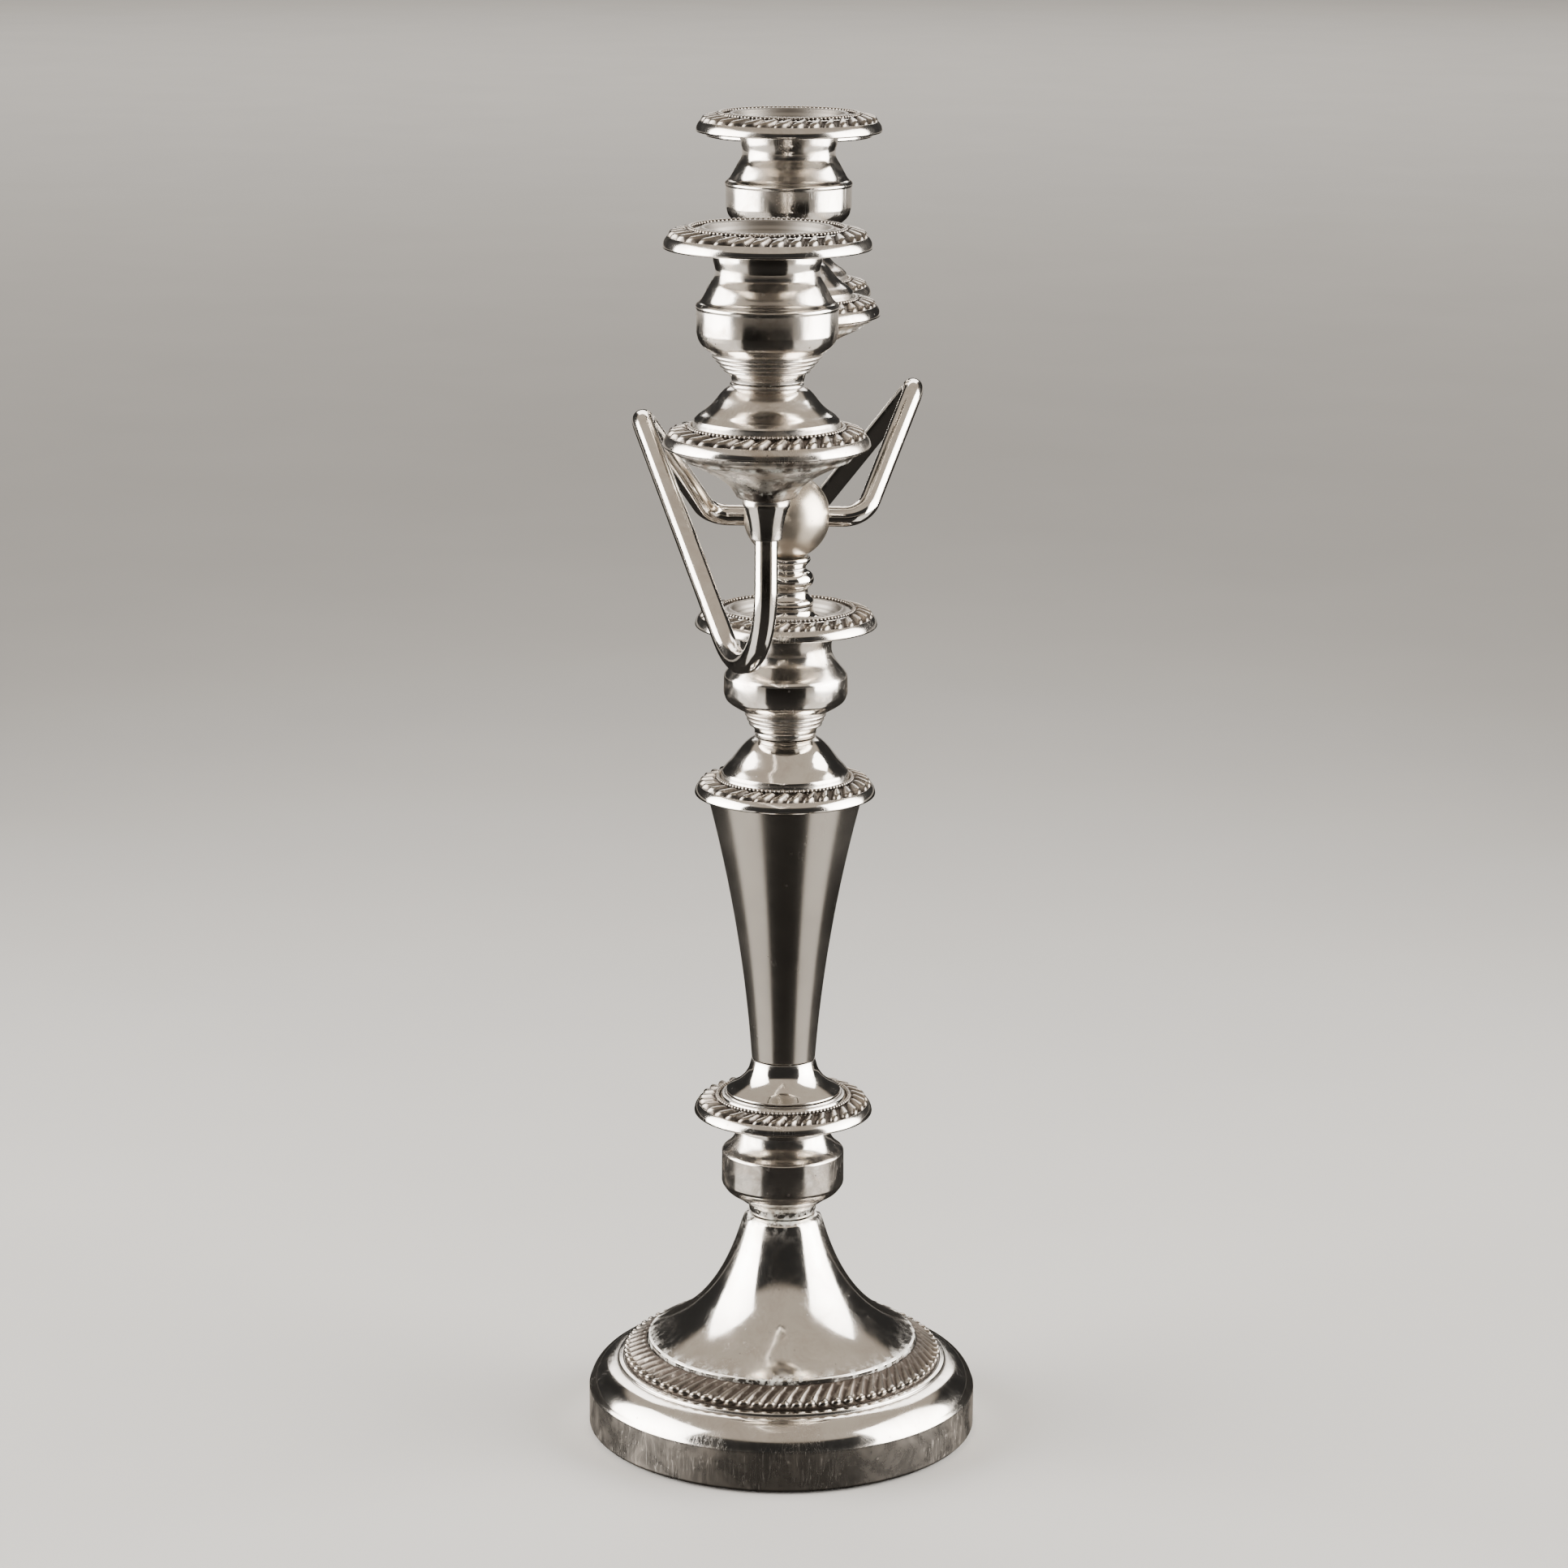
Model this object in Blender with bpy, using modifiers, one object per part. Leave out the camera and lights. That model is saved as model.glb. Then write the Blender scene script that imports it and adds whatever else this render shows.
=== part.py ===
"""Three-light silver-plated candelabrum: a weighted candlestick with a lift-out branch.

The stick is a stack of turned shells held on one tie rod, and carries a lift-out nozzle.
The branch plugs into that nozzle by its spigot. A ball hub holds two bent tube arms and a
centre post, and each of the three lights is a drip pan, a candle cup and a loose nozzle.

Frame: origin at the centre of the underside, +Z up, arms along X. All dimensions below
are in millimetres, and turned() and tube() convert them to metres as they make meshes.
"""

import math

import bmesh
import bpy
from mathutils import Matrix, Vector

MM = 0.001
GAP = 0.3                # clearance between pieces that touch on the real object

# Facets around each turned piece.
BASE_STEPS = 28
DISC_STEPS = 18
SMALL_STEPS = 12

# Stick, heights above the table.
FELT_RADIUS = 57.0
FELT_THICKNESS = 1.5
BASE_RADIUS = 61.0
BASE_WALL_TOP = 13.4
SHELL_WALL = 0.9
DOME_FOOT_RADIUS = 41.5
DOME_TOP_RADIUS = 13.3
BASE_TOP = 70.0
KNOP_RADIUS = 19.1
KNOP_TOP = 102.6
LOWER_COLLAR_Z = 103.2   # underside of the lower collar's rim
STEM_FOOT_TOP = 120.7
STEM_BOTTOM = 121.0
STEM_TOP = 204.8
STEM_BOTTOM_RADIUS = 9.9
UPPER_COLLAR_Z = 205.4   # underside of the upper collar's rim
UPPER_COLLAR_TOP = 223.5
CUP_RIM_Z = 257.7
CUP_FLOOR_Z = 239.0
STICK_NOZZLE_Z = 258.1   # underside of the stick nozzle's rim
ROD_RADIUS = 3.0
ROD_BOTTOM = 3.4
ROD_TOP = 236.0
ROD_HOLE = 3.5

# Candle nozzle, heights from the underside of its rim.
CANDLE_RADIUS = 11.1     # takes a 22.2 mm candle
NOZZLE_TUBE_RADIUS = 11.7
NOZZLE_DEPTH = 17.5
NOZZLE_FLOOR = 0.9
NOZZLE_LIP_RADIUS = 17.0
NOZZLE_LIP_Z = 5.8
RIM_RADIUS = 27.8        # of every disc: collars, pans and nozzle flanges

# Branch.
SPIGOT_RADIUS = 10.7
SPIGOT_TOP = 264.6
HUB_Z = 292.0
HUB_RADIUS = 13.2
HUB_BOTTOM = 279.9
HUB_TOP = 304.2
TUBE_RADIUS = 3.15
TUBE_HOLE = 3.5
TUBE_END = 19.3          # where each light's tube ends, below its pan's rim
# Underside of each pan's rim, on the light's axis. The left arm is a little bent.
LIGHT_PLACE = {
    "centre": Vector((0, 0, 353.0)),
    "right": Vector((156.0, 0, 337.8)),
    "left": Vector((-156.0, -5.4, 340.0)),
}
ARM_TOP = {"right": Vector((42.0, -42.0, 329.5)), "left": Vector((-35.0, 38.8, 328.4))}
ARM_LOW_Z = 255.3        # of the tube's axis, where it would turn sharply up to its light

# Light, heights from the underside of its drip pan's rim.
PAN_TOP = 17.3
CUP_LIFT = {"centre": 1.9, "right": 0.0, "left": 0.0}    # taller collar under the cup
CUP_BORE = 12.2
LIGHT_CUP_FLOOR = 33.5
LIGHT_CUP_RIM = 52.4
LIGHT_NOZZLE_Z = 52.8
UNDER_BOTTOM = -13.5
SCREW_RADIUS = 1.5
SCREW_HOLE = 1.9


def clear_scene():
    for thing in list(bpy.data.objects):
        bpy.data.objects.remove(thing, do_unlink=True)
    for group in list(bpy.data.collections):
        bpy.data.collections.remove(group)


def new_collection(name):
    group = bpy.data.collections.new(name)
    bpy.context.scene.collection.children.link(group)
    return group


clear_scene()
PARTS = new_collection("three_light_candelabrum")
CUTTERS = new_collection("cutters")


# ---------------------------------------------------------------- materials

def metal(name, colour, roughness):
    material = bpy.data.materials.new(name)
    material.use_nodes = True
    shader = material.node_tree.nodes["Principled BSDF"]
    shader.inputs["Base Color"].default_value = (*colour, 1.0)
    shader.inputs["Metallic"].default_value = 1.0
    shader.inputs["Roughness"].default_value = roughness
    return material


def matte(name, colour, roughness=0.9):
    material = metal(name, colour, roughness)
    material.node_tree.nodes["Principled BSDF"].inputs["Metallic"].default_value = 0.0
    return material


def silver(name):
    return metal(name + "_silver", (0.86, 0.83, 0.78), 0.12)


def satin_silver(name):
    return metal(name + "_satin_silver", (0.80, 0.77, 0.72), 0.28)


def aged_silver(name):
    return metal(name + "_aged_silver", (0.70, 0.66, 0.60), 0.25)


def steel(name):
    return metal(name + "_steel", (0.55, 0.55, 0.56), 0.35)


# ---------------------------------------------------------------- outlines

def bow(start, end, bulge, steps):
    """Points of a circular arc after start, up to end.

    bulge is the arc's rise over its chord: positive swells outwards on a line that runs
    down the outer side, and negative is hollow."""
    start, end = Vector(start), Vector(end)
    chord = end - start
    half = chord.length / 2
    across = Vector((-chord.y, chord.x)).normalized()
    radius = (half * half + bulge * bulge) / (2 * abs(bulge))
    side = math.copysign(1.0, bulge)
    centre = (start + end) / 2 - across * side * (radius - abs(bulge))
    first = math.atan2(start.y - centre.y, start.x - centre.x)
    last = math.atan2(end.y - centre.y, end.x - centre.x)
    turn = (last - first + math.pi) % (2 * math.pi) - math.pi
    points = []
    for step in range(1, steps + 1):
        angle = first + turn * step / steps
        points.append((centre.x + radius * math.cos(angle), centre.y + radius * math.sin(angle)))
    return points


DOME_FLOOR = 6.9         # height that the dome's hyperbola flattens towards
DOME_SPREAD = 1046.0
DOME_SHIFT = 4.55


def dome_height(radius):
    """The base dome is a hyperbola, steep at its neck and flat at its foot."""
    return DOME_FLOOR + DOME_SPREAD / (radius + DOME_SHIFT)


def dome_curve(first, last, steps, inset=0.0):
    points = []
    for step in range(steps + 1):
        radius = first + (last - first) * (step / steps) ** 1.5
        points.append((radius - inset, dome_height(radius) - inset * 0.6))
    return points


def stem_radius(z):
    """The stem flares upwards, faster towards its top."""
    along = (z - STEM_BOTTOM) / (STEM_TOP - STEM_BOTTOM)
    return STEM_BOTTOM_RADIUS + 6.0 * along + 7.9 * along * along


# Outer edge of every disc, from the inside of its border seat to its underside.
DISC_EDGE = [(20.2, 4.6), (26.4, 2.1), (26.6, 3.1), (RIM_RADIUS, 0.8), (27.2, 0.0)]
# Cast border that sits in that seat.
BORDER = [(20.5, 5.9), (22.4, 5.9), (26.2, 3.2), (26.2, 2.55), (20.5, 4.95)]


# ---------------------------------------------------------------- modelling tools

def adopt(thing, name, material, parent, place):
    thing.name = name
    thing.data.name = name
    thing.data.materials.clear()
    thing.data.materials.append(material)
    for group in list(thing.users_collection):
        group.objects.unlink(thing)
    PARTS.objects.link(thing)
    thing.parent = parent
    thing.location = Vector(place) * MM
    return thing


def shade(thing):
    thing.data.shade_smooth()
    thing.data.set_sharp_from_angle(angle=math.radians(35))


def outline_object(name, outline, closed):
    """A wire outline in the XZ plane, in metres, for a Screw modifier to turn."""
    mesh = bpy.data.meshes.new(name)
    points = [(radius * MM, 0.0, z * MM) for radius, z in outline]
    edges = [(index, index + 1) for index in range(len(points) - 1)]
    if closed:
        edges.append((len(points) - 1, 0))
    mesh.from_pydata(points, edges, [])
    return bpy.data.objects.new(name, mesh)


def turned(name, outline, material, parent, place=(0, 0, 0), steps=DISC_STEPS):
    """A turned piece. Its outline runs down the outer side, then back up the bore.

    An outline that starts and ends on the axis is left open there."""
    solid_core = outline[0][0] == 0 and outline[-1][0] == 0
    piece = outline_object(name, outline, not solid_core)
    PARTS.objects.link(piece)
    adopt(piece, name, material, parent, place)
    screw = piece.modifiers.new("Turned", "SCREW")
    screw.axis = "Z"
    screw.steps = steps
    screw.render_steps = steps
    screw.use_merge_vertices = True
    screw.merge_threshold = 0.00001
    screw.use_smooth_shade = True
    return piece


def tube(name, points, radius, material, parent):
    """A round tube along a path, as a curve with filled ends."""
    curve = bpy.data.curves.new(name, "CURVE")
    curve.dimensions = "3D"
    curve.bevel_depth = radius * MM
    curve.bevel_resolution = 2
    curve.use_fill_caps = True
    spline = curve.splines.new("POLY")
    spline.points.add(len(points) - 1)
    for point, place in zip(spline.points, points):
        point.co = (*(Vector(place) * MM), 1.0)
    thing = bpy.data.objects.new(name, curve)
    bpy.context.scene.collection.objects.link(thing)
    return adopt(thing, name, material, parent, (0, 0, 0))


def cylinder_mesh(name, radius, depth, segments):
    mesh = bpy.data.meshes.new(name)
    shape = bmesh.new()
    bmesh.ops.create_cone(shape, cap_ends=True, segments=segments, radius1=radius * MM,
                          radius2=radius * MM, depth=depth * MM)
    shape.to_mesh(mesh)
    shape.free()
    return mesh


def cylinder(name, radius, bottom, top, material, parent, segments=SMALL_STEPS):
    mesh = cylinder_mesh(name, radius, top - bottom, segments)
    piece = bpy.data.objects.new(name, mesh)
    PARTS.objects.link(piece)
    adopt(piece, name, material, parent, (0, 0, (top + bottom) / 2))
    shade(piece)
    return piece


def drill(target, name, radius, start, end, segments=SMALL_STEPS):
    """Cut a straight round hole in target from start to end."""
    start, end = Vector(start), Vector(end)
    mesh = cylinder_mesh(name, radius, (end - start).length, segments)
    cutter = bpy.data.objects.new(name, mesh)
    CUTTERS.objects.link(cutter)
    cutter.matrix_world = (
        Matrix.Translation((start + end) / 2 * MM)
        @ Vector((0, 0, 1)).rotation_difference(end - start).to_matrix().to_4x4()
    )
    cutter.hide_render = True
    cutter.display_type = "WIRE"
    cut = target.modifiers.new(name, "BOOLEAN")
    cut.operation = "DIFFERENCE"
    cut.solver = "EXACT"
    cut.object = cutter


def empty(name, place, parent=None):
    marker = bpy.data.objects.new(name, None)
    PARTS.objects.link(marker)
    marker.parent = parent
    marker.location = Vector(place) * MM
    return marker


def border(name, height, parent, x=0.0):
    return turned(name, BORDER, aged_silver(name), parent, (x, 0, height))


# ---------------------------------------------------------------- stick

def base_felt(parent):
    outline = [(0, FELT_THICKNESS), (FELT_RADIUS, FELT_THICKNESS), (FELT_RADIUS, 0), (0, 0)]
    turned("base_felt", outline, matte("base_felt", (0.05, 0.12, 0.07)), parent,
           steps=BASE_STEPS)


def base_weight(parent):
    bottom = FELT_THICKNESS + GAP
    inset = SHELL_WALL + 2 * GAP
    outline = [
        (ROD_HOLE, 40.0),
        (20.5, 40.0),
        (DOME_FOOT_RADIUS - inset, 27.0),
        (50.0, 19.6),
        (BASE_RADIUS - inset - 0.6, BASE_WALL_TOP - inset),
        (BASE_RADIUS - inset - 0.6, bottom),
        (12.0, bottom),
        (12.0, 9.3),
        (ROD_HOLE, 9.3),
    ]
    turned("base_weight", outline, matte("base_weight", (0.20, 0.18, 0.16)), parent,
           steps=BASE_STEPS)


def base_shell(parent):
    outer = [(9.2, BASE_TOP), (10.3, BASE_TOP), (12.3, 68.3)]
    outer += dome_curve(DOME_TOP_RADIUS, DOME_FOOT_RADIUS, 5)
    outer += [(42.4, 27.4), (50.0, 21.9), (51.6, 22.0)]
    outer += bow((51.6, 22.0), (BASE_RADIUS, BASE_WALL_TOP), 1.8, 3)
    outer += [(BASE_RADIUS, 1.2), (60.2, 0.4)]
    inner = [
        (59.6, 0.4),
        (BASE_RADIUS - 1.0, 1.4),
        (BASE_RADIUS - 1.0, BASE_WALL_TOP - 0.4),
        (50.4, 20.4),
        (41.9, 26.6),
    ]
    inner += dome_curve(DOME_TOP_RADIUS, DOME_FOOT_RADIUS, 5, SHELL_WALL + GAP)[::-1]
    inner += [(9.4, 68.0)]
    turned("base_shell", outer + inner, silver("base_shell"), parent, steps=BASE_STEPS)


def base_border(parent):
    outline = [(42.9, 29.0), (44.0, 29.1), (49.5, 24.8), (49.7, 22.5), (42.9, 27.5)]
    turned("base_border", outline, aged_silver("base_border"), parent, steps=BASE_STEPS)


def tie_rod(parent):
    cylinder("tie_rod", ROD_RADIUS, ROD_BOTTOM, ROD_TOP, steel("tie_rod"), parent)


def tie_rod_washer(parent):
    outline = [(ROD_HOLE, 9.0), (9.5, 9.0), (9.5, 7.8), (ROD_HOLE, 7.8)]
    turned("tie_rod_washer", outline, steel("tie_rod_washer"), parent, steps=SMALL_STEPS)


def tie_rod_nut(parent):
    nut = cylinder("tie_rod_nut", 6.0, 3.0, 7.5, steel("tie_rod_nut"), parent, segments=6)
    drill(nut, "tie_rod_nut_thread", ROD_HOLE, (0, 0, 2.0), (0, 0, 9.0))


def lower_knop(parent):
    outer = [(14.3, KNOP_TOP), (14.1, 98.0)]
    outer += bow((14.1, 98.0), (18.8, 91.0), -0.8, 2)
    outer += [(KNOP_RADIUS, 90.2), (KNOP_RADIUS, 80.6)]
    outer += bow((KNOP_RADIUS, 80.6), (13.3, 75.2), 1.0, 2)
    outer += [(10.7, 73.2), (10.1, 70.3)]
    inner = [(8.6, 70.3), (9.2, 74.0), (17.9, 81.0), (17.9, 90.0), (13.2, 97.5), (13.2, KNOP_TOP)]
    turned("lower_knop", outer + inner, silver("lower_knop"), parent)


def lower_collar(parent):
    outline = [(ROD_HOLE, 6.7), (18.4, 6.7), (19.6, 5.8)]
    outline += DISC_EDGE
    outline += [(15.2, -0.3), (ROD_HOLE, -0.3)]
    turned("lower_collar", outline, silver("lower_collar"), parent, (0, 0, LOWER_COLLAR_Z))


def stem_foot(parent):
    bottom = LOWER_COLLAR_Z + 6.7 + GAP
    outer = [(9.9, STEM_FOOT_TOP), (10.4, 118.6)]
    outer += bow((10.4, 118.6), (17.6, 110.8), -1.0, 4)
    outer += [(17.8, bottom)]
    inner = [(15.6, bottom), (9.0, 116.5), (8.6, STEM_FOOT_TOP)]
    turned("stem_foot", outer + inner, silver("stem_foot"), parent)


def stem(parent):
    heights = [STEM_TOP + (STEM_BOTTOM - STEM_TOP) * step / 6 for step in range(7)]
    outer = [(stem_radius(z), z) for z in heights]
    inner = [(stem_radius(z) - SHELL_WALL, z) for z in reversed(heights[::2])]
    turned("stem", outer + inner, satin_silver("stem"), parent)


def upper_collar(parent):
    top = UPPER_COLLAR_TOP - UPPER_COLLAR_Z
    outline = [(ROD_HOLE, top), (9.2, top)]
    outline += bow((9.2, top), (19.5, 7.0), -0.8, 3)
    outline += DISC_EDGE
    outline += [(22.5, -0.2), (17.0, 4.5), (ROD_HOLE, 10.0)]
    turned("upper_collar", outline, silver("upper_collar"), parent, (0, 0, UPPER_COLLAR_Z))


def stick_cup(parent):
    outline = [(CUP_BORE, CUP_RIM_Z), (14.8, CUP_RIM_Z)]
    outline += bow((14.8, CUP_RIM_Z), (14.6, 249.5), -0.9, 3)
    outline += [(18.4, 243.6), (18.9, 242.3), (18.9, 237.0)]
    outline += bow((18.9, 237.0), (12.2, 231.4), 1.1, 2)
    outline += [(11.2, 229.6), (10.4, 227.4), (9.0, 224.8), (9.2, UPPER_COLLAR_TOP + GAP)]
    outline += [(ROD_HOLE, UPPER_COLLAR_TOP + GAP), (ROD_HOLE, CUP_FLOOR_Z), (CUP_BORE, CUP_FLOOR_Z)]
    turned("stick_cup", outline, silver("stick_cup"), parent)


def make_stick():
    root = empty("stick", (0, 0, 0))
    base_felt(root)
    base_weight(root)
    base_shell(root)
    base_border(root)
    tie_rod(root)
    tie_rod_washer(root)
    tie_rod_nut(root)
    lower_knop(root)
    lower_collar(root)
    border("lower_collar_border", LOWER_COLLAR_Z, root)
    stem_foot(root)
    stem(root)
    upper_collar(root)
    border("upper_collar_border", UPPER_COLLAR_Z, root)
    stick_cup(root)
    return root


# ---------------------------------------------------------------- nozzles

def nozzle(name, height, parent):
    """A loose candle socket with a wide flange. It hangs in the cup by that flange."""
    holder = empty(name + "_lift", (0, 0, height), parent)
    floor = NOZZLE_FLOOR - NOZZLE_DEPTH
    outline = [(0, floor), (CANDLE_RADIUS, floor), (CANDLE_RADIUS, 1.6)]
    outline += bow((CANDLE_RADIUS, 1.6), (NOZZLE_LIP_RADIUS, NOZZLE_LIP_Z), 0.7, 2)
    outline += [(19.4, NOZZLE_LIP_Z)]
    outline += DISC_EDGE
    outline += [(13.9, 0.1), (NOZZLE_TUBE_RADIUS, -0.5), (NOZZLE_TUBE_RADIUS, -NOZZLE_DEPTH)]
    outline += [(0, -NOZZLE_DEPTH)]
    turned(name, outline, silver(name), holder)
    border(name + "_border", 0.0, holder)
    return holder


# ---------------------------------------------------------------- branch

def spigot(parent):
    bottom = STICK_NOZZLE_Z - NOZZLE_DEPTH + NOZZLE_FLOOR + GAP
    outline = [(0, SPIGOT_TOP), (8.2, SPIGOT_TOP)]
    outline += bow((8.2, SPIGOT_TOP), (SPIGOT_RADIUS, 261.0), -0.5, 2)
    outline += [(SPIGOT_RADIUS, bottom + 1.0), (SPIGOT_RADIUS - 1.0, bottom), (0, bottom)]
    turned("spigot", outline, silver("spigot"), parent)


def branch_stem(parent):
    """Baluster between the spigot and the hub: disc, groove, bead, groove, ring."""
    outline = [
        (0, HUB_BOTTOM - GAP),
        (7.2, HUB_BOTTOM - GAP),
        (7.2, 278.4),
        (5.9, 276.8),
        (5.9, 275.8),
        (8.3, 273.6),
        (8.3, 272.1),
        (6.6, 269.4),
        (6.6, 268.6),
        (8.3, 266.4),
        (8.3, SPIGOT_TOP + GAP),
        (0, SPIGOT_TOP + GAP),
    ]
    turned("branch_stem", outline, silver("branch_stem"), parent)


def hub(parent):
    """A ball, flat where it meets the baluster and the post, drilled for the arms."""
    top = math.asin((HUB_TOP - HUB_Z) / HUB_RADIUS)
    bottom = math.asin((HUB_BOTTOM - HUB_Z) / HUB_RADIUS)
    outline = [(0, HUB_TOP)]
    for step in range(9):
        angle = top + (bottom - top) * step / 8
        height = HUB_Z + HUB_RADIUS * math.sin(angle)
        outline.append((HUB_RADIUS * math.cos(angle), height))
    outline.append((0, HUB_BOTTOM))
    ball = turned("hub", outline, silver("hub"), parent)
    for side, label in ((-1, "right"), (1, "left")):
        start, end = (0, side * 9.0, HUB_Z), (0, side * 20.0, HUB_Z)
        drill(ball, label + "_arm_socket", TUBE_HOLE, start, end)


def filleted(corners, radii, steps):
    """A path through corners, with each inner corner rounded to its own radius."""
    path = [corners[0]]
    for before, corner, after, radius in zip(corners, corners[1:], corners[2:], radii):
        back = (before - corner).normalized()
        ahead = (after - corner).normalized()
        half = back.angle(ahead) / 2
        centre = corner + (back + ahead).normalized() * radius / math.sin(half)
        first = corner + back * radius / math.tan(half) - centre
        last = corner + ahead * radius / math.tan(half) - centre
        turn = first.angle(last)
        for step in range(steps + 1):
            along = turn * step / steps
            path.append(centre + (math.sin(turn - along) * first + math.sin(along) * last)
                        / math.sin(turn))
    path.append(corners[-1])
    return path


def arm(label, parent):
    """A tube that leaves the hub sideways, climbs, runs out and down, and turns up."""
    top = ARM_TOP[label]
    light_place = LIGHT_PLACE[label]
    out = math.copysign(1.0, top.y)
    corners = [
        Vector((0, out * 9.5, HUB_Z)),
        Vector((0, out * 23.4, HUB_Z)),
        top,
        Vector((light_place.x, light_place.y, ARM_LOW_Z)),
        light_place - Vector((0, 0, TUBE_END + GAP)),
    ]
    path = filleted(corners, (8.5, 8.0, 24.5), 7)
    tube(label + "_arm", path, TUBE_RADIUS, silver(label + "_arm"), parent)


def centre_post(parent):
    top = LIGHT_PLACE["centre"].z - TUBE_END - GAP
    outline = [(0, top), (TUBE_RADIUS, top), (TUBE_RADIUS, HUB_TOP + 2.4), (5.2, HUB_TOP + 1.4)]
    outline += [(5.2, HUB_TOP + GAP), (0, HUB_TOP + GAP)]
    turned("centre_post", outline, silver("centre_post"), parent, steps=SMALL_STEPS)


def ferrule(name, parent):
    """Socket on a tube's end, with a blind thread for the light's screw in its top."""
    top = UNDER_BOTTOM - GAP
    web = -TUBE_END
    outline = [(0, web + 0.9), (SCREW_HOLE, web + 0.9), (SCREW_HOLE, top), (6.3, top)]
    outline += [(6.3, top - 2.2), (5.2, -18.7), (4.45, -22.3), (4.2, -25.1)]
    outline += [(TUBE_HOLE, -25.1), (TUBE_HOLE, web), (0, web)]
    turned(name, outline, silver(name), parent, steps=SMALL_STEPS)


def pan_under(name, parent):
    outline = [
        (25.6, -GAP),
        (25.0, -1.2),
        (22.7, -2.9),
        (16.4, -6.3),
        (9.4, -11.0),
        (8.0, UNDER_BOTTOM),
        (SCREW_HOLE, UNDER_BOTTOM),
        (SCREW_HOLE, UNDER_BOTTOM + 1.0),
        (7.1, UNDER_BOTTOM + 1.0),
        (8.6, -10.3),
        (24.2, -GAP),
    ]
    turned(name, outline, aged_silver(name), parent)


def drip_pan(name, parent, lift):
    outline = [(SCREW_HOLE, PAN_TOP + lift), (9.7, PAN_TOP + lift), (10.2, 15.4)]
    outline += bow((10.2, 15.4), (20.0, 6.2), 0.8, 3)
    outline += DISC_EDGE
    outline += [(24.0, 0.3), (18.4, 6.0), (7.9, 16.2), (SCREW_HOLE, 16.2)]
    turned(name, outline, silver(name), parent)


def candle_cup(name, parent, lift):
    outline = [(CUP_BORE, LIGHT_CUP_RIM), (14.8, LIGHT_CUP_RIM)]
    outline += bow((14.8, LIGHT_CUP_RIM), (14.6, 44.5), -0.9, 3)
    outline += [(18.4, 38.6), (19.2, 37.6), (18.8, 36.6), (18.8, 30.8)]
    outline += bow((18.8, 30.8), (14.8, 25.0), 0.8, 2)
    outline += [(13.4, 22.9), (10.4, 19.6), (9.4, PAN_TOP + GAP), (SCREW_HOLE, PAN_TOP + GAP)]
    outline += [(SCREW_HOLE, LIGHT_CUP_FLOOR - 3.0), (4.5, LIGHT_CUP_FLOOR - 3.0)]
    outline += [(4.5, LIGHT_CUP_FLOOR), (CUP_BORE, LIGHT_CUP_FLOOR)]
    turned(name, outline, silver(name), parent, (0, 0, lift))


def cup_screw(name, parent, lift):
    """Holds the cup, the pan and its underside down on the ferrule."""
    seat = LIGHT_CUP_FLOOR + lift - 3.0 + GAP
    tip = 1.3 - TUBE_END
    outline = [(0, seat + 2.2), (3.6, seat + 2.2), (3.6, seat), (SCREW_RADIUS, seat)]
    outline += [(SCREW_RADIUS, tip), (0, tip)]
    turned(name, outline, steel(name), parent, steps=SMALL_STEPS)


def light(label, parent):
    holder = empty(label + "_light", LIGHT_PLACE[label], parent)
    lift = CUP_LIFT[label]
    ferrule(label + "_ferrule", holder)
    pan_under(label + "_pan_under", holder)
    drip_pan(label + "_drip_pan", holder, lift)
    border(label + "_pan_border", 0.0, holder)
    candle_cup(label + "_candle_cup", holder, lift)
    cup_screw(label + "_cup_screw", holder, lift)
    nozzle(label + "_nozzle", LIGHT_NOZZLE_Z + lift, holder)


def make_branch(nozzle_holder):
    plug = empty("branch_spigot", (0, 0, -STICK_NOZZLE_Z), nozzle_holder)
    spigot(plug)
    turning = empty("branch", (0, 0, 0), plug)
    branch_stem(turning)
    hub(turning)
    arm("right", turning)
    arm("left", turning)
    centre_post(turning)
    for label in ("centre", "right", "left"):
        light(label, turning)


STICK = make_stick()
STICK_NOZZLE = nozzle("stick_nozzle", STICK_NOZZLE_Z, STICK)
make_branch(STICK_NOZZLE)
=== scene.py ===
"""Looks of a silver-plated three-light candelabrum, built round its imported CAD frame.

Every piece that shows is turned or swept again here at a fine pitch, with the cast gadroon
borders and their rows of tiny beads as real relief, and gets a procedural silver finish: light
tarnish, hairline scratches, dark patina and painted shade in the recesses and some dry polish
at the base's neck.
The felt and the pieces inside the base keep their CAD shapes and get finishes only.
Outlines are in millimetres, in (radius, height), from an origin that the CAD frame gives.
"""

import math

import bmesh
import bpy
import numpy as np
from mathutils import Matrix, Vector


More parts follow.
